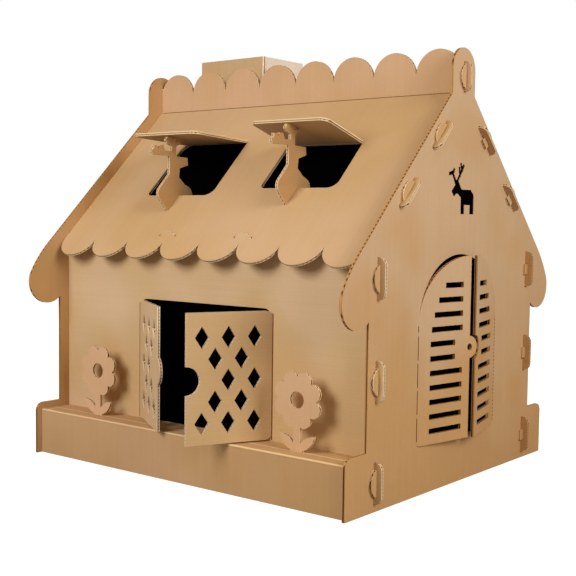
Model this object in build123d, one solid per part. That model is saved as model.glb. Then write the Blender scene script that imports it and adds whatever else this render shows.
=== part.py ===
from build123d import *
import os
from math import acos, asin, atan2, cos, degrees, radians, sin, sqrt

# Cardboard playhouse for a toddler: die-cut sheets of double-wall board, slotted together
# and held by keys. Sizes are in mm. X runs to the right along the front, Y to the back
# and Z up, with the front wall facing -Y and the middle of the house at X = 0, Y = 0.

# Board and clearances
board = 7.0
fit = 0.3
slot_fit = 0.4
crease_bulge = 0.3
crease_facets = 16
crease_turn = 5.0
fold_lap = 0.8

# House
house_width = 966.0
wall_face = 340.0
roof_apex = 899.0
run = sqrt(0.5)

# Gables
gable_apex_rise = 95.0
gable_rise = 39.0
gable_margin = 28.0
lobe_offset = 39.0
lobe_drop = 93.0
lobe_radius = 56.0
eave_blend = 300.0
apex_half_width = 50.0
foot_margin = 14.0
foot_height = 128.0
foot_radius = 20.0

# Tabs and keys
tab_reach = 19.0
tab_radius = 16.0
wall_tab_length = 88.0
wall_tab_levels = (61.0, 272.0, 484.0)
roof_tab_length = 86.0
roof_tab_places = (148.0, 332.0)
ridge_tab_length = 68.0
ridge_tab_rise = 30.0
key_head_width = 58.0
key_head_height = 19.0
key_stem_width = 26.0
key_stem_reach = 12.0
key_head_facets = 12
tab_corner_facets = 5

# Walls and doorway
top_tab_place = 119.0
top_tab_base = 55.0
top_tab_rise = 13.0
door_half_width = 206.0
door_bottom = 111.0
door_top = 405.0
door_corner = 20.0
door_kerf = 3.5
door_level = 254.0
right_door_angle = 63.6
left_door_angle = 33.3
door_bump_radius = 30.0
door_notch_gap = 1.5
diamond_width = 33.0
diamond_height = 50.0
diamond_start = 43.4
diamond_step = 30.75
diamond_rise = 46.5

# Side windows and shutters
window_half_width = 175.0
window_bottom = 108.0
window_corner = 13.0
window_spring = 375.0
window_top = 528.0
shutter_kerf = 2.0
front_shutter_angle = 10.6
rear_shutter_angle = 13.7
latch_level = 318.0
latch_radius = 25.0
latch_hole_radius = 8.0
latch_gap = 1.5
louvre_rows = 11
louvre_pitch = 32.2
louvre_bottom = 139.0
louvre_height = 12.5
louvre_outer_margin = 40.0
louvre_inner_margin = 27.0
louvre_latch_margin = 52.0
louvre_arch_level = 328.0
louvre_arch_height = 183.0

# Deer cut-out
deer_level = 619.0
deer_bar = 8.0

# Roof and its windows
scallops = 8
eave_overhang = 13.0
roof_window_place = 180.0
roof_window_width = 220.0
roof_window_kerf = 2.0
right_window_hinge = 164.0
right_window_sill = 318.0
right_window_corners = (6.0, 6.0, 25.0, 14.0)
left_window_hinge = 143.0
left_window_sill = 341.0
left_window_corners = (32.0, 6.0, 25.0, 14.0)

# Ridge board, measured from the roof's apex
ridge_drop = 16.0
ridge_rise = 98.0

# Chimney
chimney_centre = -223.0
chimney_width = 221.0
chimney_depth = 168.0
chimney_front = 5.0
chimney_rise = 126.0
chimney_tab_length = 60.0
chimney_tab_reach = 14.0

# Plinths and flowers
plinth_face = 428.5
plinth_height = 111.0
tongue_place = 340.0
tongue_width = 60.0
tongue_reach = 14.0
flower_line = 386.0
flower_shares = {"left": 0.378, "right": 0.415}
flower_level = 222.0
petals = 8
petal_facets = 20
petal_radius = 19.5
petal_distance = 43.5
flower_hole_radius = 18.5
flower_stem_width = 18.0
flower_foot_width = 30.0
flower_foot_depth = 22.0
flower_leaf_reach = 47.0
flower_leaf_rise = 37.0
flower_leaf_bulge = 10.0

# Window struts, measured from the top edge of the sill
strut_axis = -11.0
strut_tip = -70.0

# Values that follow from the sizes
inner_half_width = house_width / 2 - board
sheet_half_width = inner_half_width - fit
gable_face = house_width / 2
crease_radius = board / 2 + crease_bulge
roof_under = board / run
wall_top = roof_apex - roof_under - wall_face - fit / run
slot_width = board + 2 * slot_fit
scallop_radius = sheet_half_width / scallops
roof_valley = wall_face / run + eave_overhang
ridge_valley = roof_apex + ridge_rise - scallop_radius
ridge_bottom = roof_apex - ridge_drop
ridge_tab_level = roof_apex + ridge_tab_rise
chimney_top = roof_apex + chimney_rise
key_line = gable_face + fit + board / 2
beside_door = sheet_half_width - door_half_width
flower_places = {
    "left": -door_half_width - flower_shares["left"] * beside_door,
    "right": door_half_width + flower_shares["right"] * beside_door,
}

# Planes that the sheets lie in, each at the middle of its board
gable_plane = Plane(origin=(gable_face - board / 2, 0, 0), x_dir=(0, 1, 0), z_dir=(1, 0, 0))
wall_plane = Plane(origin=(0, board / 2 - wall_face, 0), x_dir=(1, 0, 0), z_dir=(0, -1, 0))
ridge_plane = Plane(origin=(0, 0, 0), x_dir=(1, 0, 0), z_dir=(0, -1, 0))
roof_plane = Plane(
    origin=(0, board / 2 * run, roof_apex - board / 2 * run), x_dir=(1, 0, 0), z_dir=(0, -1, 1)
)


def sheet(face, plane):
    """A flat piece of board with its middle in the given plane."""
    return extrude(plane * face, amount=board / 2, both=True)


def crease(start, end):
    """The rounded back of a fold whose axis runs between two points."""
    line = Vector(*end) - Vector(*start)
    round_back = Rot(0, 0, crease_turn) * RegularPolygon(crease_radius, crease_facets)
    return extrude(Plane(origin=start, z_dir=line) * round_back, amount=line.length)


def block(x_range, y_range, z_range):
    """A box between the given limits."""
    size = [high - low for low, high in (x_range, y_range, z_range)]
    middle = [(high + low) / 2 for low, high in (x_range, y_range, z_range)]
    return Pos(*middle) * Box(*size)


def across_house(shape):
    """The shape and its mirror image on the other side of the middle."""
    return shape + mirror(shape, about=Plane.YZ)


def arc_points(centre, radius, angles, facets):
    """Points along an arc from one angle to another, for outlines that repeat often."""
    start, end = angles
    points = []
    for count in range(facets + 1):
        turn = radians(start + (end - start) * count / facets)
        points.append((centre[0] + radius * cos(turn), centre[1] + radius * sin(turn)))
    return points


def bar(start, end, width):
    """A straight bar with square ends half its width beyond two points of a sketch."""
    line = Vector(*end) - Vector(*start)
    middle = (Vector(*end) + Vector(*start)) / 2
    turn = Rot(0, 0, degrees(atan2(line.Y, line.X)))
    return Pos(middle.X, middle.Y) * turn * Rectangle(line.length + width, width)


def scallop_row(level, side):
    """Half circles side by side along a level from the left edge of a sheet to its right."""
    arcs = []
    for count in range(scallops):
        middle = (2 * count + 1) * scallop_radius - sheet_half_width
        arcs.append(CenterArc((middle, level), scallop_radius, 180, -side * 180))
    return arcs


def side_tab(length):
    """A tab that leaves the right edge of a sheet through the gable, with its key slit."""
    start = sheet_half_width - board
    corner = gable_face + tab_reach - tab_radius
    level = length / 2 - tab_radius
    lower = arc_points((corner, -level), tab_radius, (-90, 0), tab_corner_facets)
    upper = arc_points((corner, level), tab_radius, (0, 90), tab_corner_facets)
    tab = Polygon((start, length / 2), (start, -length / 2), *lower, *upper, align=None)
    slit = Rectangle(slot_width, key_stem_width + 2 * slot_fit)
    return tab - Pos(key_line, 0) * slit


def gable_slot(length):
    """The slot that a side tab passes, upright and round its own middle."""
    return Rectangle(slot_width, length + 2 * slot_fit)


def roof_line(place):
    """A point of the gable's sketch on the middle of the roof board, down the slope."""
    return roof_plane.from_local_coords((0, -place))


def deer():
    """A standing deer with lowered head, two legs and a pair of antlers."""
    body = Polygon(
        (-5, 38), (-4, 0), (12, 0), (12, 21), (37, 21), (37, 0), (56, 0), (56, 44), (42, 56),
        (-1, 56), (-18, 77), (-38, 76), (-31, 66), (-47, 51), (-36, 39), (-22, 47),
        align=None,
    )
    antlers = bar((-20, 76), (6, 109), deer_bar) + bar((-10, 88), (-13, 103), deer_bar)
    antlers += bar((-1, 99), (-6, 112), deer_bar) + bar((-31, 75), (-44, 93), deer_bar)
    antlers += bar((-44, 93), (-56, 90), deer_bar) + bar((-42, 90), (-37, 99), deer_bar)
    return body + antlers


def gable_outline():
    """One half of the gable, from its top round to its foot, with its mirror image."""
    edge = wall_face + gable_margin
    foot = plinth_face + foot_margin
    slope_top = roof_apex + gable_rise
    lobe = Vector(edge + lobe_offset, slope_top - edge - lobe_offset - lobe_drop)
    depth = lobe_drop * run
    reach = sqrt((eave_blend - lobe_radius) ** 2 - (eave_blend - depth) ** 2)
    slope_end = lobe + Vector(run, run) * depth - Vector(run, -run) * reach
    blend = slope_end - Vector(run, run) * eave_blend
    join_angle = degrees(atan2(lobe.Y - blend.Y, lobe.X - blend.X))
    notch_angle = -degrees(acos(-lobe_offset / lobe_radius))
    notch_level = lobe.Y + lobe_radius * sin(radians(notch_angle))
    gable_top = roof_apex + gable_apex_rise
    apex_level = gable_top - apex_half_width
    half = make_face([
        CenterArc((0, apex_level), apex_half_width, 0, 90),
        Polyline(
            (apex_half_width, apex_level), (apex_half_width, slope_top - apex_half_width),
            (slope_end.X, slope_end.Y),
        ),
        CenterArc((blend.X, blend.Y), eave_blend, join_angle, 45 - join_angle),
        CenterArc((lobe.X, lobe.Y), lobe_radius, notch_angle, join_angle - notch_angle),
        Polyline((edge, notch_level), (edge, foot_height), (foot - foot_radius, foot_height)),
        CenterArc((foot - foot_radius, foot_height - foot_radius), foot_radius, 0, 90),
        Polyline((foot, foot_height - foot_radius), (foot, 0), (0, 0), (0, gable_top)),
    ])
    return across_house(half)


def gable_slots():
    """The slots for the tabs of the walls, the roof sheets and the ridge board."""
    slots = Pos(0, ridge_tab_level) * gable_slot(ridge_tab_length)
    for level in wall_tab_levels:
        slot = Pos(wall_face - board / 2, level) * gable_slot(wall_tab_length)
        slots += across_house(slot)
    for place in roof_tab_places:
        middle = roof_line(place)
        slot = Pos(middle.Y, middle.Z) * Rot(0, 0, -45) * gable_slot(roof_tab_length)
        slots += across_house(slot)
    return slots


def side_window():
    """The arched opening of a gable."""
    corner = window_bottom + window_corner
    height = window_spring - window_bottom
    window = Pos(0, window_spring - height / 2) * RectangleRounded(
        2 * window_half_width, height, window_corner
    )
    window += Pos(0, (window_spring + corner) / 2) * Rectangle(
        2 * window_half_width, window_spring - corner
    )
    arch = Ellipse(window_half_width, window_top - window_spring)
    return window + Pos(0, window_spring) * arch


def louvres():
    """The rows of slits in a shutter, from its fold at x = 0 to its free edge."""
    field = window_half_width - louvre_outer_margin
    rows = Sketch()
    for row in range(louvre_rows):
        level = louvre_bottom + row * louvre_pitch
        beside_latch = abs(level - latch_level) < latch_radius
        margin = louvre_latch_margin if beside_latch else louvre_inner_margin
        into_arch = max(level + louvre_height / 2 - louvre_arch_level, 0) / louvre_arch_height
        reach = field * sqrt(1 - into_arch**2)
        slit = Rectangle(reach - margin, louvre_height)
        rows += Pos(window_half_width - (reach + margin) / 2, level) * slit
    return rows


def shutter(angle, has_latch):
    """A shutter folded out of the front half of the right gable's window.

    It starts a lap past the axis of its fold, inside the fold's rounded back.
    """
    free_edge = window_half_width - shutter_kerf / 2
    bottom = window_bottom + shutter_kerf
    corner = window_corner - shutter_kerf
    arch_height = window_top - shutter_kerf - window_spring
    panel = Pos(window_half_width, window_spring) * Ellipse(window_half_width, arch_height)
    panel += Pos(window_half_width, (window_spring + bottom) / 2) * Rectangle(
        2 * window_half_width, window_spring - bottom
    )
    panel &= Pos((free_edge + fold_lap) / 2, (window_top + bottom) / 2) * Rectangle(
        free_edge - fold_lap, window_top - bottom
    )
    corner_block = Pos(corner / 2, bottom + corner / 2) * Rectangle(corner, corner)
    panel -= corner_block - Pos(corner, bottom + corner) * Circle(corner)
    if has_latch:
        panel += Pos(free_edge, latch_level) * Circle(latch_radius)
        panel -= Pos(free_edge, latch_level) * Circle(latch_hole_radius)
    else:
        panel -= Pos(free_edge, latch_level) * Circle(latch_radius + latch_gap)
    turn = radians(angle)
    place = Plane(
        origin=(gable_plane.origin.X, -window_half_width, 0),
        x_dir=(sin(turn), cos(turn), 0),
        z_dir=(cos(turn), -sin(turn), 0),
    )
    fold_start = place.from_local_coords((0, window_bottom + window_corner, 0))
    fold_end = place.from_local_coords((0, window_spring, 0))
    return sheet(panel - louvres(), place) + crease(fold_start, fold_end)


def gable():
    """The right gable with its shutters folded out."""
    face = gable_outline() - gable_slots() - side_window()
    face -= Pos(0, deer_level) * deer()
    front_shutter = shutter(front_shutter_angle, True)
    rear_shutter = mirror(shutter(rear_shutter_angle, False), about=Plane.XZ)
    return sheet(face, gable_plane).fuse(front_shutter, rear_shutter)


def wall_outline():
    """A wall between the gables with its side tabs, top tabs and tongue slots."""
    face = Pos(0, wall_top / 2) * Rectangle(2 * sheet_half_width, wall_top)
    left = top_tab_place - top_tab_base / 2
    right = top_tab_place + top_tab_base / 2
    tab_top = roof_apex - wall_face + top_tab_rise
    top_tab = make_face([
        ThreePointArc((left, wall_top), (top_tab_place, tab_top), (right, wall_top)),
        Polyline((right, wall_top), (right, wall_top - board), (left, wall_top - board),
                 (left, wall_top)),
    ])
    face += across_house(top_tab)
    for level in wall_tab_levels:
        face += across_house(Pos(0, level) * side_tab(wall_tab_length))
    slot = Rectangle(tongue_width + 2 * slot_fit, slot_width)
    return face - across_house(Pos(tongue_place, plinth_height - board / 2) * slot)


def diamonds():
    """The diamond lattice of a door leaf, from its fold at x = 0 to its free edge."""
    diamond = Polygon(
        (diamond_width / 2, 0), (0, diamond_height / 2),
        (-diamond_width / 2, 0), (0, -diamond_height / 2),
    )
    lattice = Sketch()
    for row in (-2, -1, 0, 1, 2):
        columns = (1, 3) if row % 2 else (0, 2, 4)
        for column in columns:
            beside_bump = row == 0 and column == 4
            if not beside_bump:
                place = Pos(diamond_start + column * diamond_step, door_level + row * diamond_rise)
                lattice += place * diamond
    return lattice


def door_leaf(angle, has_bump):
    """The left leaf of the door, folded out of the doorway."""
    length = door_half_width - door_kerf
    bottom = door_bottom + door_kerf
    top = door_top - door_kerf
    corner = door_corner - door_kerf
    panel = Pos((length + fold_lap) / 2, (bottom + top) / 2) * Rectangle(
        length - fold_lap, top - bottom
    )
    for level, side in ((bottom, 1), (top, -1)):
        block_middle = level + side * corner / 2
        corner_block = Pos(corner / 2, block_middle) * Rectangle(corner, corner)
        panel -= corner_block - Pos(corner, level + side * corner) * Circle(corner)
    if has_bump:
        panel += Pos(length, door_level) * Circle(door_bump_radius)
    else:
        panel -= Pos(length, door_level) * Circle(door_bump_radius + door_notch_gap)
    turn = radians(angle)
    place = Plane(
        origin=(-door_half_width, wall_plane.origin.Y, 0),
        x_dir=(cos(turn), -sin(turn), 0),
        z_dir=(-sin(turn), -cos(turn), 0),
    )
    fold_start = place.from_local_coords((0, door_bottom + door_corner, 0))
    fold_end = place.from_local_coords((0, door_top - door_corner, 0))
    return sheet(panel - diamonds(), place) + crease(fold_start, fold_end)


def front_wall():
    """The front wall with its two door leaves."""
    doorway = Pos(0, (door_top + door_bottom) / 2) * RectangleRounded(
        2 * door_half_width, door_top - door_bottom, door_corner
    )
    right_leaf = mirror(door_leaf(right_door_angle, False), about=Plane.YZ)
    left_leaf = door_leaf(left_door_angle, True)
    return sheet(wall_outline() - doorway, wall_plane) + left_leaf + right_leaf


def back_wall():
    """The plain back wall."""
    return mirror(sheet(wall_outline(), wall_plane), about=Plane.XZ)


def roof_outline():
    """A roof sheet in its own plane, with its ridge edge up and its scallops down."""
    ridge_edge = (board / 2 + fit) / run
    edge = Polyline(
        (sheet_half_width, -roof_valley), (sheet_half_width, -ridge_edge),
        (-sheet_half_width, -ridge_edge), (-sheet_half_width, -roof_valley),
    )
    face = make_face(scallop_row(-roof_valley, -1) + [edge])
    for place in roof_tab_places:
        face += across_house(Pos(0, -place) * side_tab(roof_tab_length))
    return face


def roof_cuts():
    """What is cut off the front roof upright: its edge along the ridge board."""
    return block(
        (-gable_face, gable_face), (-board / 2 - fit, board), (ridge_bottom - board, roof_apex)
    )


def top_tab_slots():
    """The upright slots of the front roof that the wall's top tabs pass."""
    half_length = top_tab_base / 2 + slot_fit
    slot = block(
        (top_tab_place - half_length, top_tab_place + half_length),
        (-wall_face - slot_fit, board - wall_face + slot_fit),
        (wall_top - board, roof_apex),
    )
    return across_house(slot)


def flap_outline(width, length, corners):
    """A roof window or its flap below its fold at y = 0, its corners rounded clockwise."""
    fold_left, fold_right, right, left = corners
    half = width / 2
    return make_face([
        Polyline((fold_left - half, 0), (half - fold_right, 0)),
        CenterArc((half - fold_right, -fold_right), fold_right, 0, 90),
        Polyline((half, -fold_right), (half, right - length)),
        CenterArc((half - right, right - length), right, -90, 90),
        Polyline((half - right, -length), (left - half, -length)),
        CenterArc((left - half, left - length), left, 180, 90),
        Polyline((-half, left - length), (-half, -fold_left)),
        CenterArc((fold_left - half, -fold_left), fold_left, 90, 90),
    ])


def sill_point(sill):
    """The top edge of a roof window's sill, as Y and Z."""
    return Vector(-sill * run, roof_apex - sill * run)


def strut_head():
    """The outline of a strut's head, from the top edge of the sill."""
    return [
        (-10.3, 94), (-10.3, 119), (2.5, 127), (5, 131.5), (-1, 134), (-14.5, 130), (-11, 136),
        (-15.5, 140.5), (-25, 143.5), (-40, 142.5), (-46.5, 134), (-41, 127), (-25.8, 119.5),
        (-25.8, 94),
    ]


def flap_angle(hinge, sill):
    """The angle above level at which a flap rests on its strut."""
    axis = roof_line(hinge)
    edge = sill_point(sill)
    angles = []
    for across, up in strut_head():
        forward = axis.Y - edge.X - across
        height = edge.Y + up - axis.Z
        distance = sqrt(forward**2 + height**2)
        angles.append(atan2(height, forward) + asin((board / 2 + fit) / distance))
    return max(angles)


def roof_flap(place, hinge, sill, corners):
    """A flap folded up out of the front roof as an awning, with its fold."""
    inner_corners = [radius - roof_window_kerf for radius in corners]
    width = roof_window_width - 2 * roof_window_kerf
    panel = flap_outline(width, sill - hinge - roof_window_kerf, inner_corners)
    turn = flap_angle(hinge, sill)
    axis = roof_line(hinge)
    plane = Plane(origin=(place, axis.Y, axis.Z), x_dir=(1, 0, 0), z_dir=(0, sin(turn), cos(turn)))
    fold_start = place - roof_window_width / 2 + corners[0]
    fold_end = place + roof_window_width / 2 - corners[1]
    return sheet(panel, plane) + crease((fold_start, axis.Y, axis.Z), (fold_end, axis.Y, axis.Z))


def front_roof():
    """The front roof sheet with its two flaps folded up."""
    face = roof_outline()
    flaps = []
    windows = (
        (roof_window_place, right_window_hinge, right_window_sill, right_window_corners),
        (-roof_window_place, left_window_hinge, left_window_sill, left_window_corners),
    )
    for place, hinge, sill, corners in windows:
        window = flap_outline(roof_window_width, sill - hinge, corners)
        face -= Pos(place, -hinge) * window
        flaps.append(roof_flap(place, hinge, sill, corners))
    roof = sheet(face, roof_plane) - roof_cuts() - top_tab_slots()
    return roof + flaps[0] + flaps[1]


def chimney_tabs(gap):
    """The upright tabs under the chimney's side panels, or with a gap their slots."""
    half_length = chimney_tab_length / 2 + gap
    middle = chimney_front + chimney_depth / 2
    top = roof_apex - middle
    reach = top - half_length - roof_under - chimney_tab_reach
    half_width = (chimney_width - board) / 2
    tabs = []
    for side in (-1, 1):
        line = chimney_centre + side * half_width
        tabs.append(block(
            (line - board / 2 - gap, line + board / 2 + gap),
            (middle - half_length, middle + half_length),
            (reach, top + half_length + board),
        ))
    return tabs[0] + tabs[1]


def back_roof():
    """The back roof sheet, slotted for the back wall and the chimney."""
    roof = sheet(roof_outline(), roof_plane) - roof_cuts() - top_tab_slots()
    return mirror(roof, about=Plane.XZ) - chimney_tabs(slot_fit)


def ridge_board():
    """The scalloped board that stands on edge along the ridge."""
    edge = Polyline(
        (sheet_half_width, ridge_valley), (sheet_half_width, ridge_bottom),
        (-sheet_half_width, ridge_bottom), (-sheet_half_width, ridge_valley),
    )
    face = make_face(scallop_row(ridge_valley, 1) + [edge])
    face += across_house(Pos(0, ridge_tab_level) * side_tab(ridge_tab_length))
    return sheet(face, ridge_plane)


def chimney():
    """One strip folded round three corners, open at the top, with its seam at the right."""
    back = chimney_front + chimney_depth
    left = chimney_centre - chimney_width / 2
    right = chimney_centre + chimney_width / 2
    half = board / 2
    fold_lines = ((left + half, chimney_front + half), (left + half, back - half),
                  (right - half, back - half))

    def bottom(nearest):
        """The lowest level for an upright piece whose nearest face is that far back."""
        return roof_apex - nearest + fit / run

    front_panel = block(
        (left + half, right), (chimney_front, chimney_front + board),
        (bottom(chimney_front), chimney_top),
    )
    rear_panel = block(
        (left + half, right - half), (back - board, back), (bottom(back - board), chimney_top)
    )
    strip = front_panel + rear_panel
    for line, start in ((left + half, chimney_front + half),
                        (right - half, chimney_front + board + fit)):
        side_plane = Plane(origin=(line, 0, 0), x_dir=(0, 1, 0), z_dir=(1, 0, 0))
        side_panel = Polygon(
            (start, bottom(start)), (back - half, bottom(back - half)),
            (back - half, chimney_top), (start, chimney_top),
            align=None,
        )
        strip += sheet(side_panel, side_plane)
    for line, depth in fold_lines:
        low = bottom(depth - crease_radius)
        strip += crease((line, depth, low), (line, depth, chimney_top))
    return strip + chimney_tabs(0)


def plinth(has_flowers):
    """The front plinth: an upright panel and a ledge with tongues through the wall."""
    fold_line = board / 2 - plinth_face
    panel = block(
        (-sheet_half_width, sheet_half_width), (-plinth_face, board - plinth_face),
        (0, plinth_height - board / 2),
    )
    ledge = block(
        (-sheet_half_width, sheet_half_width), (fold_line, -wall_face - fit),
        (plinth_height - board, plinth_height),
    )
    fold_level = plinth_height - board / 2
    fold = crease(
        (-sheet_half_width, fold_line, fold_level), (sheet_half_width, fold_line, fold_level)
    )
    tongue = block(
        (tongue_place - tongue_width / 2, tongue_place + tongue_width / 2),
        (-wall_face - board, board - wall_face + tongue_reach),
        (plinth_height - board, plinth_height),
    )
    folded = panel + ledge + fold + across_house(tongue)
    if has_flowers:
        half_slot = flower_foot_width / 2 + slot_fit
        for place in flower_places.values():
            folded -= block(
                (place - half_slot, place + half_slot),
                (-flower_line - slot_width / 2, -flower_line + slot_width / 2),
                (0, plinth_height + board),
            )
    return folded


def flower(place):
    """A flower with a pierced heart, a stem, two leaves and a foot through the ledge."""
    head = Circle(petal_distance)
    for count in range(petals):
        turn = Rot(0, 0, (count + 0.5) * 360 / petals)
        head += turn * Pos(petal_distance, 0) * RegularPolygon(petal_radius, petal_facets)
    face = Pos(0, flower_level) * head
    ledge = plinth_height + fit
    stem_length = flower_level - ledge
    face += Pos(0, ledge + stem_length / 2) * Rectangle(flower_stem_width, stem_length)
    base = Vector(0, ledge)
    tip = Vector(flower_leaf_reach, ledge + flower_leaf_rise)
    middle = (base + tip) / 2
    out = Vector(-flower_leaf_rise, flower_leaf_reach).normalized() * flower_leaf_bulge
    leaf = make_face([
        ThreePointArc((base.X, base.Y), ((middle + out).X, (middle + out).Y), (tip.X, tip.Y)),
        ThreePointArc((tip.X, tip.Y), ((middle - out).X, (middle - out).Y), (base.X, base.Y)),
    ])
    face += across_house(leaf)
    above_ledge = Pos(0, ledge + flower_level / 2) * Rectangle(2 * flower_level, flower_level)
    face = face & (above_ledge + Pos(0, flower_level) * head)
    foot_length = board + flower_foot_depth
    foot = Rectangle(flower_foot_width, foot_length)
    face += Pos(0, ledge + board / 2 - foot_length / 2) * foot
    face -= Pos(0, flower_level) * RegularPolygon(flower_hole_radius, petal_facets)
    plane = Plane(origin=(place, -flower_line, 0), x_dir=(1, 0, 0), z_dir=(0, -1, 0))
    return sheet(face, plane)


def strut(place, sill):
    """A strut astride the sill: a pointed bulb, a neck with an ear, a toothed arm and a head."""
    left, right, side_level = strut_axis - 55, strut_axis + 55, -10.5
    tip = (strut_axis, strut_tip)
    bulb = make_face([
        ThreePointArc((left, 17), (left - 5.5, 2), (left, side_level)),
        Polyline((left, side_level), tip, (right, side_level)),
        ThreePointArc((right, side_level), (right + 3.5, 5), (34, 21.5)),
        Polyline((34, 21.5), (21.5, 27), (1, 44), (1, 52), (-33, 52), (left, 17)),
    ])
    neck = Polygon((-33, 50), (1, 50), (3, 67), (31.5, 75.5), (30, 94), (-33, 97), align=None)
    arm = Polygon(
        (-25, 96), (-25, 108), (-49, 108), (-53.5, 122), (-67, 121), (-70, 110), (-74, 120),
        (-87, 119), (-86, 111), (-95, 106), (-91, 96),
        align=None,
    )
    face = bulb + neck + arm + Polygon(*strut_head(), align=None)
    slot_length = -strut_tip / run
    slot_middle = slot_fit - slot_length / 2
    sill_slot = Pos(board * run / 2, -board * run / 2) * Rot(0, 0, 45)
    face -= sill_slot * Pos(slot_middle, 0) * Rectangle(slot_length, slot_width)
    edge = sill_point(sill)
    plane = Plane(origin=(place, edge.X, edge.Y), x_dir=(0, 1, 0), z_dir=(1, 0, 0))
    return sheet(face, plane)


def key(middle, chord, outward):
    """A key through a tab: a round head on the outer side and a straight stem."""
    flat = board / 2 + fit
    radius = (key_head_width**2 / 4 + key_head_height**2) / (2 * key_head_height)
    half_angle = degrees(asin(key_head_width / 2 / radius))
    centre = (0, flat + key_head_height - radius)
    ends = (90 - half_angle, 90 + half_angle)
    head = Polygon(*arc_points(centre, radius, ends, key_head_facets), align=None)
    stem_length = flat + board / 2 + key_stem_reach
    stem = Pos(0, flat - stem_length / 2) * Rectangle(key_stem_width, stem_length + fit)
    normal = Vector(*chord).cross(Vector(*outward))
    plane = Plane(origin=middle, x_dir=chord, z_dir=normal)
    return sheet(head + stem, plane)


def keys():
    """All keys by name, for both ends of the walls, the roof sheets and the ridge board."""
    heights = {"low": 0, "middle": 1, "top": 2}
    named = {}
    for end, side in (("left", -1), ("right", 1)):
        line = side * key_line
        for face, depth in (("front", -1), ("back", 1)):
            wall_line = depth * (wall_face - board / 2)
            for height, index in heights.items():
                name = f"{end}_{face}_wall_key_{height}"
                middle = (line, wall_line, wall_tab_levels[index])
                named[name] = key(middle, (0, 0, 1), (0, depth, 0))
            for height, place in zip(("top", "low"), roof_tab_places):
                name = f"{end}_{face}_roof_key_{height}"
                point = roof_line(place)
                middle = (line, -depth * point.Y, point.Z)
                named[name] = key(middle, (0, depth, -1), (0, depth, 1))
        named[f"{end}_ridge_key"] = key((line, 0, ridge_tab_level), (0, 0, 1), (0, -1, 0))
    return named


def playhouse():
    """All pieces by name."""
    right_gable = gable()
    pieces = {
        "right_gable": right_gable,
        "left_gable": mirror(right_gable, about=Plane.YZ),
        "front_wall": front_wall(),
        "back_wall": back_wall(),
        "front_roof": front_roof(),
        "back_roof": back_roof(),
        "ridge_board": ridge_board(),
        "chimney": chimney(),
        "front_plinth": plinth(True),
        "back_plinth": mirror(plinth(False), about=Plane.XZ),
        "left_flower": flower(flower_places["left"]),
        "right_flower": flower(flower_places["right"]),
        "left_window_strut": strut(-roof_window_place, left_window_sill),
        "right_window_strut": strut(roof_window_place, right_window_sill),
    }
    pieces.update(keys())
    return pieces


pieces = playhouse()
boxes = [piece.bounding_box() for piece in pieces.values()]
front = min(box.min.Y for box in boxes)
back = max(box.max.Y for box in boxes)
centred = Pos(0, -(front + back) / 2, 0)
os.makedirs("parts", exist_ok=True)
for name, piece in pieces.items():
    export_step(centred * piece, f"parts/{name}.step")
print("pieces", len(pieces), "front", front, "back", back)
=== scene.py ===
import math

import bpy
import numpy as np
from mathutils import Matrix, Vector


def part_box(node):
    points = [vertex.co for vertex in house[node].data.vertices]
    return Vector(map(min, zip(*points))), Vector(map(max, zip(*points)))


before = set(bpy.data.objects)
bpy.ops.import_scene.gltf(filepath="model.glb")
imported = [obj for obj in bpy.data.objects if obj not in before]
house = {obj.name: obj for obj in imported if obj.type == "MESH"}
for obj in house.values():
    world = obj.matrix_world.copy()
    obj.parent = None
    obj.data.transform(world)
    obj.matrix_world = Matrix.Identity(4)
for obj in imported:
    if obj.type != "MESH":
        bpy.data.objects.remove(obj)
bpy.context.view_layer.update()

# Gables: the two end sheets, die-cut from brown corrugated board 7 mm thick, with their flutes
# upright. Each has two louvred shutters that stay attached at creases and stand a little open.
# The front shutter's crease is cut through in long dashes, the rear one's in short dashes.
MM = 0.001
board = 7.0 * MM
flute_pitch = 7.6 * MM
ridge_low, ridge_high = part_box("ridge_board")
middle = (ridge_low.y + ridge_high.y) / 2
window_half_width = 175 * MM
window_foot = 121 * MM
window_spring = 375 * MM
front_shutter_angle = math.radians(10.6)
rear_shutter_angle = math.radians(13.7)
gable_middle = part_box("right_gable")[0].x + board / 2


def linear(code):
    """An sRGB hex colour as linear red, green, blue and alpha."""
    parts = np.array([int(code[i:i + 2], 16) for i in (1, 3, 5)]) / 255
    low = parts / 12.92
    high = ((parts + 0.055) / 1.055) ** 2.4
    return (*np.where(parts <= 0.04045, low, high), 1.0)


def node(tree, kind, inputs=None, **settings):
    """Adds a node, sets its properties, and sets or links its inputs."""
    new = tree.nodes.new(kind)
    for name, value in settings.items():
        setattr(new, name, value)
    for key, value in (inputs or {}).items():
        if isinstance(value, bpy.types.NodeSocket):
            tree.links.new(value, new.inputs[key])
        else:
            new.inputs[key].default_value = value
    return new


def panel(origin, across, along, where=()):
    """A flat part of a sheet: a point of its middle plane, the direction across its flutes, the
    one along them, and the half spaces (direction, limit) that it lies in."""
    return {"origin": Vector(origin), "across": Vector(across).normalized(),
            "along": Vector(along).normalized(), "where": where}


def in_half_spaces(tree, position, half_spaces):
    """One where the position's part along every direction is past its limit, else zero."""
    inside = None
    for direction, limit in half_spaces:
        reach = node(tree, "ShaderNodeVectorMath", {0: position, 1: direction},
                     operation="DOT_PRODUCT")
        past = node(tree, "ShaderNodeMath", {0: reach.outputs["Value"], 1: limit},
                    operation="GREATER_THAN").outputs[0]
        inside = past if inside is None else node(tree, "ShaderNodeMath", {0: inside, 1: past},
                                                  operation="MULTIPLY").outputs[0]
    return inside


def distance_past(tree, position, direction, level):
    """How far a position lies past a level along a direction."""
    reach = node(tree, "ShaderNodeVectorMath", {0: position, 1: direction},
                 operation="DOT_PRODUCT")
    return node(tree, "ShaderNodeMath", {0: reach.outputs["Value"], 1: level},
                operation="SUBTRACT").outputs[0]


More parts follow.
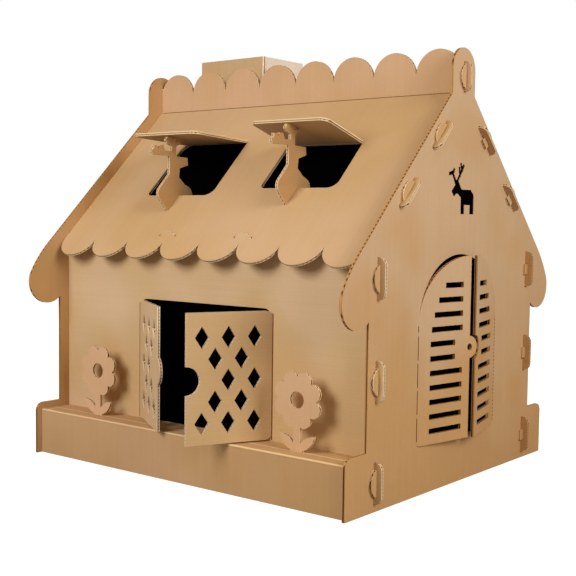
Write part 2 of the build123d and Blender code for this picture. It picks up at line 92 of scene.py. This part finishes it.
def sheet_coordinates(tree, place, panels):
    """The place on a sheet in metres (across the flutes, along them, through the board), and how
    much the surface faces out of the sheet, from 0 on a cut edge to 1 on a liner."""
    coordinates = None
    facing = None
    for part in panels:
        out = part["across"].cross(part["along"])
        turn = Matrix((part["across"], part["along"], out)).transposed().to_euler("XYZ")
        local = node(tree, "ShaderNodeMapping", {"Vector": place.outputs["Object"],
                     "Location": part["origin"], "Rotation": turn}, vector_type="TEXTURE")
        dot = node(tree, "ShaderNodeVectorMath", {0: place.outputs["Normal"], 1: out},
                   operation="DOT_PRODUCT")
        away = node(tree, "ShaderNodeMath", {0: dot.outputs["Value"]}, operation="ABSOLUTE")
        if coordinates is None:
            coordinates, facing = local.outputs[0], away.outputs[0]
            continue
        inside = in_half_spaces(tree, place.outputs["Object"], part["where"])
        coordinates = node(tree, "ShaderNodeMix", {0: inside, 4: coordinates, 5: local.outputs[0]},
                           data_type="VECTOR").outputs[1]
        facing = node(tree, "ShaderNodeMix", {0: inside, 2: facing, 3: away.outputs[0]},
                      data_type="FLOAT").outputs[0]
    return coordinates, facing


def stretched_noise(tree, coordinates, stretch, **settings):
    """Noise on a sheet, drawn out along its flutes."""
    place = node(tree, "ShaderNodeMapping", {"Vector": coordinates, "Scale": (1.0, stretch, 1.0)})
    return node(tree, "ShaderNodeTexNoise", {"Vector": place.outputs[0],
                **settings}).outputs["Fac"]


def painted_score(tree, position, paper, direction, level):
    """Paper with a line pressed into it at a level along a direction, drawn in colour only: a band
    of painted shade before the line and a wider band of painted highlight past it."""
    score_shade_start, score_shade_end, score_shade_share = -2.2 * MM, -0.2 * MM, 0.55
    score_highlight_width = 7.0 * MM
    away = distance_past(tree, position, direction, level)
    painted_highlight = node(tree, "ShaderNodeMapRange", {"Value": away, "From Min": 0.0,
                "From Max": score_highlight_width, "To Min": 1.0, "To Max": 0.0}).outputs[0]
    score_shade = node(tree, "ShaderNodeMapRange", {"Value": away, "From Min": score_shade_start,
                "From Max": score_shade_end, "To Min": 0.0, "To Max": score_shade_share}).outputs[0]
    below = node(tree, "ShaderNodeMath", {0: away, 1: 0.0}, operation="LESS_THAN").outputs[0]
    score_shade = node(tree, "ShaderNodeMath", {0: score_shade, 1: below}, operation="MULTIPLY").outputs[0]
    above = node(tree, "ShaderNodeMath", {0: 1.0, 1: below}, operation="SUBTRACT").outputs[0]
    painted_highlight = node(tree, "ShaderNodeMath", {0: painted_highlight, 1: above}, operation="MULTIPLY").outputs[0]
    # Painted shade before the score and painted highlight past it.
    for share, tint in ((score_shade, "#8f6639"), (painted_highlight, "#f0d3a8")):
        paper = node(tree, "ShaderNodeMix", {0: share, 6: paper, 7: linear(tint)},
                     data_type="RGBA").outputs[2]
    return paper


def cut_edge(tree, wave, through, rim):
    """The colour of a cut edge: the rims of the liners and of the flutes between them, and the
    flutes' cells in painted shade, whose upper row is painted darker than the lower one as painted
    shadow, so that they still read as dots where a flute is only three pixels wide."""
    flute_rise = 2.3 * MM
    flute_solid, flute_fade = 0.5 * MM, 1.0 * MM
    liner_fade, liner_solid = board / 2 - 1.8 * MM, board / 2 - 1.3 * MM
    depth = node(tree, "ShaderNodeMath", {0: wave, 1: -flute_rise, 2: through},
                 operation="MULTIPLY_ADD").outputs[0]
    gap = node(tree, "ShaderNodeMath", {0: depth}, operation="ABSOLUTE").outputs[0]
    flute = node(tree, "ShaderNodeMapRange", {"Value": gap, "From Min": flute_solid,
                 "From Max": flute_fade, "To Min": 1.0, "To Max": 0.0}).outputs[0]
    off_middle = node(tree, "ShaderNodeMath", {0: through}, operation="ABSOLUTE").outputs[0]
    liner = node(tree, "ShaderNodeMapRange", {"Value": off_middle, "From Min": liner_fade,
                 "From Max": liner_solid}).outputs[0]
    solid = node(tree, "ShaderNodeMath", {0: flute, 1: liner}, operation="MAXIMUM").outputs[0]
    # Painted shade: the flute cells are coloured as shade inside the voids, the upper row darkest.
    lower = node(tree, "ShaderNodeMath", {0: depth, 1: 0.0}, operation="LESS_THAN").outputs[0]
    painted_cell_shade = node(tree, "ShaderNodeMix", {0: lower, 6: linear("#4d240c"), 7: linear("#bd915e")},
                 data_type="RGBA").outputs[2]
    return node(tree, "ShaderNodeMix", {0: solid, 6: painted_cell_shade, 7: linear(rim)},
                data_type="RGBA").outputs[2]


def line(start, end, half_width, tint, pitch=10.0, dash=10.0):
    """A cut, or the painted shade or painted highlight along a crease or seam, from start to end,
    in dashes of a length at a pitch, or else unbroken.
    """
    return {"start": Vector(start), "end": Vector(end), "half_width": half_width, "tint": tint,
            "pitch": pitch, "dash": dash}


def lined(tree, position, colour, mark):
    """A colour with one line drawn over it."""
    reach = mark["end"] - mark["start"]
    turn = reach.to_track_quat("Z", "Y").to_euler()
    place = node(tree, "ShaderNodeMapping", {"Vector": position, "Location": mark["start"],
                 "Rotation": turn}, vector_type="TEXTURE").outputs[0]
    along = node(tree, "ShaderNodeSeparateXYZ", {0: place}).outputs["Z"]
    flat = node(tree, "ShaderNodeVectorMath", {0: place, 1: (1.0, 1.0, 0.0)},
                operation="MULTIPLY").outputs[0]
    away = node(tree, "ShaderNodeVectorMath", {0: flat}, operation="LENGTH").outputs["Value"]
    near = node(tree, "ShaderNodeMath", {0: away, 1: mark["half_width"]}, operation="LESS_THAN")
    step = node(tree, "ShaderNodeMath", {0: along, 1: mark["pitch"]}, operation="FLOORED_MODULO")
    drawn = node(tree, "ShaderNodeMath", {0: step.outputs[0], 1: mark["dash"]},
                 operation="LESS_THAN")
    between_ends = node(tree, "ShaderNodeMath", {0: along, 1: reach.length / 2,
                        2: reach.length / 2}, operation="COMPARE")
    for limit in (near, between_ends):
        drawn = node(tree, "ShaderNodeMath", {0: drawn.outputs[0], 1: limit.outputs[0]},
                     operation="MULTIPLY")
    return node(tree, "ShaderNodeMix", {0: drawn.outputs[0], 6: colour, 7: linear(mark["tint"])},
                data_type="RGBA").outputs[2]


def board_material(name, panels, liner="#cdab82", warm_liner="#c9a36e", lines=(), painted_scores=(),
                   painted_highlight=None, rim="#ecd2a8", painted_shade_lean=None):
    """Kraft board, machine made: matt unbleached liner paper that lies in faint ribs over the
    flutes, with fibres and flecks, in patches of a paler and a warmer brown, and cut edges with
    rims in one colour and flute cells in painted shade. Lines are cuts, and painted shade or
    painted highlight along creases and seams. A score (direction, level) is a pressed line,
    drawn as painted shade and painted highlight. Painted highlight is a half space (direction,
    limit) whose liner is painted much paler. Painted shade lean (direction, level) lets the
    warmer, darker brown take over past a level along a direction, as painted shade."""
    paper_value, rib_share = 0.84, 0.10
    material = bpy.data.materials.new(name)
    material.use_nodes = True
    tree = material.node_tree
    tree.nodes.clear()
    place = node(tree, "ShaderNodeTexCoord")
    position = place.outputs["Object"]
    coordinates, facing = sheet_coordinates(tree, place, panels)
    axes = node(tree, "ShaderNodeSeparateXYZ", {0: coordinates})
    across, through = axes.outputs["X"], axes.outputs["Z"]
    turns = node(tree, "ShaderNodeMath", {0: across, 1: math.tau / flute_pitch},
                 operation="MULTIPLY")
    wave = node(tree, "ShaderNodeMath", {0: turns.outputs[0]}, operation="SINE").outputs[0]
    fibre = stretched_noise(tree, coordinates, 0.12, Scale=900.0, Detail=4.0, Roughness=0.6)
    streak = stretched_noise(tree, coordinates, 0.02, Scale=110.0, Detail=2.0)
    cloud = node(tree, "ShaderNodeTexNoise", {"Vector": position, "Scale": 9.0, "Detail": 3.0,
                 "Roughness": 0.55}).outputs["Fac"]
    patch = node(tree, "ShaderNodeTexNoise", {"Vector": position, "Scale": 3.2, "Detail": 2.0,
                 "Roughness": 0.5}).outputs["Fac"]
    warmth = node(tree, "ShaderNodeMapRange", {"Value": patch, "From Min": 0.4,
                  "From Max": 0.6}).outputs[0]
    # Painted shade: past the level the warmer, darker brown takes over.
    if painted_shade_lean:
        warmth = node(tree, "ShaderNodeMath", {0: warmth, 1: distance_past(tree, position, *painted_shade_lean)},
                      operation="ADD", use_clamp=True).outputs[0]
    paper = node(tree, "ShaderNodeMix", {0: warmth, 6: linear(liner), 7: linear(warm_liner)},
                 data_type="RGBA").outputs[2]
    # Painted highlight: the liner past this half space is painted much paler.
    if painted_highlight:
        past = in_half_spaces(tree, position, [painted_highlight])
        paper = node(tree, "ShaderNodeMix", {0: past, 6: paper, 7: linear("#fbeddc")},
                     data_type="RGBA").outputs[2]
    value = paper_value
    for pattern, share in ((cloud, 0.10), (streak, 0.08), (fibre, 0.14), (wave, 0.008)):
        value = node(tree, "ShaderNodeMath", {0: pattern, 1: share, 2: value},
                     operation="MULTIPLY_ADD").outputs[0]
    paper = node(tree, "ShaderNodeHueSaturation", {"Color": paper, "Value": value}).outputs[0]
    # Painted shade and painted highlight along each pressed score.
    for direction, level in painted_scores:
        paper = painted_score(tree, position, paper, direction, level)
    edge = cut_edge(tree, wave, through, rim)
    liner_here = node(tree, "ShaderNodeMath", {0: facing, 1: 0.5}, operation="GREATER_THAN")
    colour = node(tree, "ShaderNodeMix", {0: liner_here.outputs[0], 6: edge, 7: paper},
                  data_type="RGBA").outputs[2]
    for mark in lines:
        colour = lined(tree, position, colour, mark)
    relief = node(tree, "ShaderNodeMath", {0: wave, 1: rib_share, 2: fibre},
                  operation="MULTIPLY_ADD")
    bump = node(tree, "ShaderNodeBump", {"Height": relief.outputs[0], "Distance": 0.15 * MM,
                "Strength": 0.5})
    surface = node(tree, "ShaderNodeBsdfPrincipled", {"Base Color": colour,
                   "Roughness": 0.82, "IOR": 1.45, "Specular IOR Level": 0.25,
                   "Normal": bump.outputs[0]})
    node(tree, "ShaderNodeOutputMaterial", {"Surface": surface.outputs[0]})
    return material


def dress(name, material):
    """Gives a piece of the house its board."""
    slots = house[name].data.materials
    slots.clear()
    slots.append(material)


# The left gable's liner is painted darker than the right one's, as painted shade on the gable that
# faces away from the lamps.
gable_liners_and_shade = {"right_gable": ("#cfad86", "#ca9e69"), "left_gable": ("#c39c6e", "#be945f")}
# Painted shade: on the right gable the warmer, darker brown takes over towards the bottom and the
# rear.
gable_painted_shade_leans = {"right_gable": (Vector((0, 0.8, -1.6)), -0.64), "left_gable": None}
front_cuts = {"half_width": 4.1 * MM, "pitch": 60.0 * MM, "dash": 52.0 * MM}
rear_cuts = {"half_width": 4.3 * MM, "pitch": 9.0 * MM, "dash": 4.5 * MM}
for name, side in (("right_gable", 1), ("left_gable", -1)):
    outside = (Vector((side, 0, 0)), gable_middle + board / 2)
    panels = [panel((side * gable_middle, middle, 0), (0, 1, 0), (0, 0, 1))]
    for end, angle in ((-1, front_shutter_angle), (1, rear_shutter_angle)):
        hinge = (side * gable_middle, middle + end * window_half_width, 0)
        across = (side * math.sin(angle), -end * math.cos(angle), 0)
        half = (Vector((0, end, 0)), end * middle)
        panels.append(panel(hinge, across, (0, 0, 1), (outside, half)))
    creases = []
    for end, cuts in ((1, rear_cuts), (-1, front_cuts)):
        foot, top = ((side * gable_middle, middle + end * window_half_width, level)
                     for level in (window_foot, window_spring))
        creases.append(line(foot, top, tint="#3a2412", **cuts))
    dress(name, board_material(f"kraft_board_{name}", panels, *gable_liners_and_shade[name], creases,
                               rim="#b2854f", painted_shade_lean=gable_painted_shade_leans[name]))

# Walls: two sheets with their flutes level. The front one has the two lattice leaves of the door
# folded out of it at creases beside the doorway, with a line of painted shade on the wall beside
# each crease.
door_half_width = 206 * MM
door_foot, door_top = 113 * MM, 395 * MM
left_door_angle = math.radians(33.3)
right_door_angle = math.radians(63.6)
hinge_shade_offset, hinge_shade_half_width = 4.2 * MM, 1.7 * MM
wall_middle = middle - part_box("back_wall")[0].y - board / 2
wall_liners = {"front_wall": ("#d0b28c", "#caa878"), "back_wall": ("#bf9460", "#b98c56")}
wall_rims = {"front_wall": "#f4dfbf", "back_wall": "#c9a06c"}
for name, side in (("front_wall", -1), ("back_wall", 1)):
    wall_line = middle - side * wall_middle
    panels = [panel((0, wall_line, 0), (0, 0, 1), (1, 0, 0))]
    painted_hinge_shades = []
    if name == "front_wall":
        outside = (Vector((0, -1, 0)), -wall_line + board / 2)
        # Painted shade beside each hinge crease: soft beside the left leaf, dark beside the right
        # one.
        for end, angle, tint in ((-1, left_door_angle, "#a17a48"),
                                 (1, right_door_angle, "#6b3512")):
            hinge = (end * door_half_width, wall_line, 0)
            along = (-end * math.cos(angle), -math.sin(angle), 0)
            half = (Vector((end, 0, 0)), 0.0)
            panels.append(panel(hinge, (0, 0, 1), along, (outside, half)))
            hinge_shade_x = end * (door_half_width + hinge_shade_offset)
            foot, top = ((hinge_shade_x, wall_line - board / 2, level)
                         for level in (door_foot, door_top))
            painted_hinge_shades.append(line(foot, top, hinge_shade_half_width, tint))
    dress(name, board_material(f"kraft_board_{name}", panels, *wall_liners[name], painted_hinge_shades,
                               rim=wall_rims[name]))

# Roof: two scalloped sheets at 45 degrees with their flutes down the slope. The front one has two
# windows, whose flaps are folded up as awnings and rest on struts.
roof_angle = math.radians(45)
roof_apex = 899 * MM
slope_half = board / 2 * math.sin(roof_angle)
right_flap = {"end": 1, "front": 85.27 * MM, "level": 780.56 * MM, "angle": math.radians(16.75)}
left_flap = {"end": -1, "front": 70.42 * MM, "level": 795.41 * MM, "angle": math.radians(3.34)}
flap_clearance = 0.5 * MM
seam_shadow_drop = board / 2 + 1.0 * MM
seam_shadow_half_length, seam_shadow_half_width = 470 * MM, 1.8 * MM
for name, side in (("front_roof", -1), ("back_roof", 1)):
    origin = (0, middle - side * slope_half, roof_apex - slope_half)
    down = (0, side * math.cos(roof_angle), -math.sin(roof_angle))
    panels = [panel(origin, (1, 0, 0), down)]
    if name == "front_roof":
        out = Vector((0, -math.sin(roof_angle), math.cos(roof_angle)))
        above = (out, out.dot(Vector((0, middle, roof_apex))) + flap_clearance)
        for flap in (right_flap, left_flap):
            half = (Vector((flap["end"], 0, 0)), 0.0)
            forward = (0, -math.cos(flap["angle"]), math.sin(flap["angle"]))
            panels.append(panel((0, -flap["front"], flap["level"]), (1, 0, 0), forward,
                                (above, half)))
    # Painted shadow: a dark line along the top of each roof sheet, where it meets the ridge board.
    left_end, right_end = ((end * seam_shadow_half_length, middle + side * seam_shadow_drop,
                            roof_apex - seam_shadow_drop) for end in (-1, 1))
    ridge_seam_shadow = line(left_end, right_end, seam_shadow_half_width, "#7d5630")
    dress(name, board_material(f"kraft_board_{name}", panels, "#cba980", "#c5a172", [ridge_seam_shadow]))

# Ridge board: a scalloped strip on edge along the ridge, between the two roof sheets, held by its
# tabs in the gables.
ridge_panel = panel((0, middle, 0), (1, 0, 0), (0, 0, 1))
dress("ridge_board", board_material("kraft_board_ridge_board", [ridge_panel], "#cda884",
                                    "#c8a276"))

# Chimney: one strip folded round three corners into a box that is open at the top. It stands on
# the back roof with two tabs in slots, close behind the ridge.
low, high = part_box("chimney")
left_side, right_side = low.x + board / 2, high.x - board / 2
front_side, rear_side = low.y + board / 2, high.y - board / 2
behind = (Vector((0, 1, 0)), front_side + board / 2)
chimney_panels = [
    panel((0, front_side, 0), (1, 0, 0), (0, 0, 1)),
    panel((0, rear_side, 0), (1, 0, 0), (0, 0, 1), [(Vector((0, 1, 0)), rear_side - board / 2)]),
    panel((left_side, 0, 0), (0, 1, 0), (0, 0, 1),
          (behind, (Vector((-1, 0, 0)), -left_side - board / 2))),
    panel((right_side, 0, 0), (0, 1, 0), (0, 0, 1),
          (behind, (Vector((1, 0, 0)), right_side - board / 2))),
]
# The chimney's right side is painted much paler, as painted highlight.
dress("chimney", board_material("kraft_board_chimney", chimney_panels, "#c4a67f", "#c0a077",
                                painted_highlight=(Vector((1, 0, 0)), right_side)))

# Plinths: one strip each, folded into an upright panel and a ledge that is slotted into the wall.
# A pale painted highlight runs along each fold, and a second crease is pressed along the front
# ledge, where the flowers stand, drawn as painted shade and painted highlight.
plinth_height = 111 * MM
ledge_clearance = 0.2 * MM
fold_highlight_half_width = 3.6 * MM
flower_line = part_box("right_flower")[0].y + board / 2
for name, side in (("front_plinth", -1), ("back_plinth", 1)):
    low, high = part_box(name)
    panel_line = low.y + board / 2 if side < 0 else high.y - board / 2
    behind = (Vector((0, -side, 0)), -side * panel_line + board / 2)
    over = (Vector((0, 0, 1)), plinth_height - board - ledge_clearance)
    panels = [panel((0, panel_line, 0), (1, 0, 0), (0, 0, 1)),
              panel((0, 0, plinth_height - board / 2), (1, 0, 0), (0, 1, 0), (behind, over))]
    # Painted highlight along the fold.
    fold_highlight = line((low.x, panel_line, plinth_height), (high.x, panel_line, plinth_height),
                fold_highlight_half_width, "#e3c292")
    # Painted shade and painted highlight along the ledge's score.
    painted_ledge_score = [(Vector((0, 1, 0)), flower_line - board / 2)] if side < 0 else []
    dress(name, board_material(f"kraft_board_{name}", panels, "#c59f76", "#bf9868", [fold_highlight],
                               painted_ledge_score))

# Flowers: two cut-outs whose feet go down through slots in the front ledge.
for name in ("left_flower", "right_flower"):
    low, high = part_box(name)
    part = panel(((low.x + high.x) / 2, (low.y + high.y) / 2, 0), (1, 0, 0), (0, 0, 1))
    dress(name, board_material(f"kraft_board_{name}", [part], "#d6b18e", "#d1aa82"))

# Window struts: cut-outs astride the sills of the roof windows, with their flutes level. Their
# heads carry the flaps.
for name in ("left_window_strut", "right_window_strut"):
    low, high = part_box(name)
    part = panel(((low.x + high.x) / 2, middle, 0), (0, 0, 1), (0, 1, 0))
    dress(name, board_material(f"kraft_board_{name}", [part], "#bf976a", "#ba905c"))

# Keys: round-headed slips pushed through the slits of the tabs, outside the gables.
for name in sorted(house):
    if "_key" in name:
        low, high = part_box(name)
        part = panel(((low.x + high.x) / 2, middle, 0), (0, 1, 0), (0, 0, 1))
        liners = ("#bf9460", "#b98c56") if "back_wall" in name else ("#cdab82", "#c9a36e")
        dress(name, board_material(f"kraft_board_{name}", [part], *liners))

# Painted shade: a black shell inside the house, so that its openings show only black, and a black
# sheet in each deer cut-out, close to the outer liner, so that the cut-out shows black and hides
# its cut edges.
room_half_length, room_half_depth, room_height = 468 * MM, 318 * MM, 540 * MM
room_foot, attic_drop = 1 * MM, 80 * MM
painted_shade_material = bpy.data.materials.new("painted_shade_black")
painted_shade_material.use_nodes = True
painted_shade_surface = painted_shade_material.node_tree.nodes["Principled BSDF"]
painted_shade_surface.inputs["Base Color"].default_value = (0.0008, 0.0008, 0.0008, 1.0)
painted_shade_surface.inputs["Roughness"].default_value = 1.0
painted_shade_surface.inputs["Specular IOR Level"].default_value = 0.0
attic_half_depth = roof_apex - attic_drop - room_height
profile = [(-room_half_depth, room_foot), (room_half_depth, room_foot),
           (room_half_depth, room_height), (attic_half_depth, room_height),
           (0, roof_apex - attic_drop), (-attic_half_depth, room_height),
           (-room_half_depth, room_height)]
count = len(profile)
corners = [(side * room_half_length, middle + y, z) for side in (-1, 1) for y, z in profile]
sides = [(i, (i + 1) % count, count + (i + 1) % count, count + i) for i in range(count)]
ends = [tuple(reversed(range(count))), tuple(range(count, 2 * count))]
deer_shade_half_width, deer_shade_foot, deer_shade_top = 66 * MM, 610 * MM, 748 * MM
deer_shade_depth = 1.3 * MM
deer_shade_line = gable_middle + board / 2 - deer_shade_depth
deer_shade_outline = [(middle - deer_shade_half_width, deer_shade_foot), (middle + deer_shade_half_width, deer_shade_foot),
        (middle + deer_shade_half_width, deer_shade_top), (middle - deer_shade_half_width, deer_shade_top)]
painted_shade_pieces = {"painted_shade_box": (corners, sides + ends)}
for name, side in (("right_deer_shade", 1), ("left_deer_shade", -1)):
    painted_shade_pieces[name] = ([(side * deer_shade_line, y, z) for y, z in deer_shade_outline], [(0, 1, 2, 3)])
for name, (points, faces) in painted_shade_pieces.items():
    mesh = bpy.data.meshes.new(name)
    mesh.from_pydata(points, [], faces)
    mesh.materials.append(painted_shade_material)
    painted_shade_piece = bpy.data.objects.new(name, mesh)
    bpy.context.scene.collection.objects.link(painted_shade_piece)

# Floor: a plain pale studio floor that runs on into a white wall.
floor_reach = 30
floor_glow = 0.97
floor_mesh = bpy.data.meshes.new("studio_floor")
floor_mesh.from_pydata([(x * floor_reach, y * floor_reach, 0)
                        for x, y in ((-1, -1), (1, -1), (1, 1), (-1, 1))], [], [(0, 1, 2, 3)])
floor = bpy.data.objects.new("studio_floor", floor_mesh)
bpy.context.scene.collection.objects.link(floor)
floor_material = bpy.data.materials.new("white_paper_floor")
floor_material.use_nodes = True
tree = floor_material.node_tree
paper_floor = tree.nodes["Principled BSDF"]
seen = node(tree, "ShaderNodeLightPath")
glow = node(tree, "ShaderNodeMath", {0: seen.outputs["Is Camera Ray"], 1: floor_glow},
            operation="MULTIPLY")
paper_floor.inputs["Base Color"].default_value = (0.25, 0.25, 0.25, 1.0)
paper_floor.inputs["Roughness"].default_value = 0.9
paper_floor.inputs["Specular IOR Level"].default_value = 0.0
paper_floor.inputs["Emission Color"].default_value = (1.0, 1.0, 1.0, 1.0)
tree.links.new(glow.outputs[0], paper_floor.inputs["Emission Strength"])
floor_mesh.materials.append(floor_material)

# Light: one large soft box ahead of the front wall, a second one off the right gable's front
# corner, a third one behind, and a weak warm light all round in front of a white wall.
world = bpy.data.worlds.new("studio")
world.use_nodes = True
tree = world.node_tree
tree.nodes.clear()
seen = node(tree, "ShaderNodeLightPath")
white_wall = node(tree, "ShaderNodeBackground", {"Color": (1.0, 1.0, 1.0, 1.0), "Strength": 1.0})
fill = node(tree, "ShaderNodeBackground", {"Color": (1.0, 0.70, 0.44, 1.0), "Strength": 0.28})
sky = node(tree, "ShaderNodeMixShader", {0: seen.outputs["Is Camera Ray"], 1: fill.outputs[0],
           2: white_wall.outputs[0]})
node(tree, "ShaderNodeOutputWorld", {"Surface": sky.outputs[0]})
bpy.context.scene.world = world


def soft_box(name, place, target, power, size):
    """A square lamp of a size in metres at a place, turned to a target."""
    light = bpy.data.lights.new(name, "AREA")
    light.energy = power
    light.size = size
    holder = bpy.data.objects.new(name, light)
    holder.location = place
    holder.rotation_euler = (Vector(target) - Vector(place)).to_track_quat("-Z", "Y").to_euler()
    bpy.context.scene.collection.objects.link(holder)


soft_box("front_box", place=(-0.25, -2.4, 1.45), target=(0, 0, 0.5), power=41, size=1.1)
soft_box("side_box", place=(3.0, -0.7, 1.6), target=(0.4, 0, 0.5), power=60, size=1.5)
soft_box("rear_box", place=(-2.3, 2.6, 2.0), target=(0, 0.2, 0.5), power=85, size=1.5)

# Camera: the photograph's view, fitted to the gables' outlines.
camera_place = Vector((1676.0, -2139.0, 607.3)) * MM + Vector((0, middle, 0))
yaw, pitch, roll = math.radians(38.38), math.radians(3.83), math.radians(0.72)
focal_pixels, picture_pixels = 1058.2, 576
level_aim = Vector((-math.sin(yaw), math.cos(yaw), 0))
forward = math.cos(pitch) * level_aim - Vector((0, 0, math.sin(pitch)))
right = Vector((math.cos(yaw), math.sin(yaw), 0))
up = right.cross(forward)
tilted_right = math.cos(roll) * right + math.sin(roll) * up
tilted_up = math.cos(roll) * up - math.sin(roll) * right
lens = bpy.data.cameras.new("camera")
lens.sensor_width = 36
lens.lens = lens.sensor_width * focal_pixels / picture_pixels
camera = bpy.data.objects.new("camera", lens)
turn = Matrix((tilted_right, tilted_up, -forward)).transposed().to_4x4()
camera.matrix_world = Matrix.Translation(camera_place) @ turn
bpy.context.scene.collection.objects.link(camera)
bpy.context.scene.camera = camera
bpy.context.scene.view_settings.view_transform = "Standard"
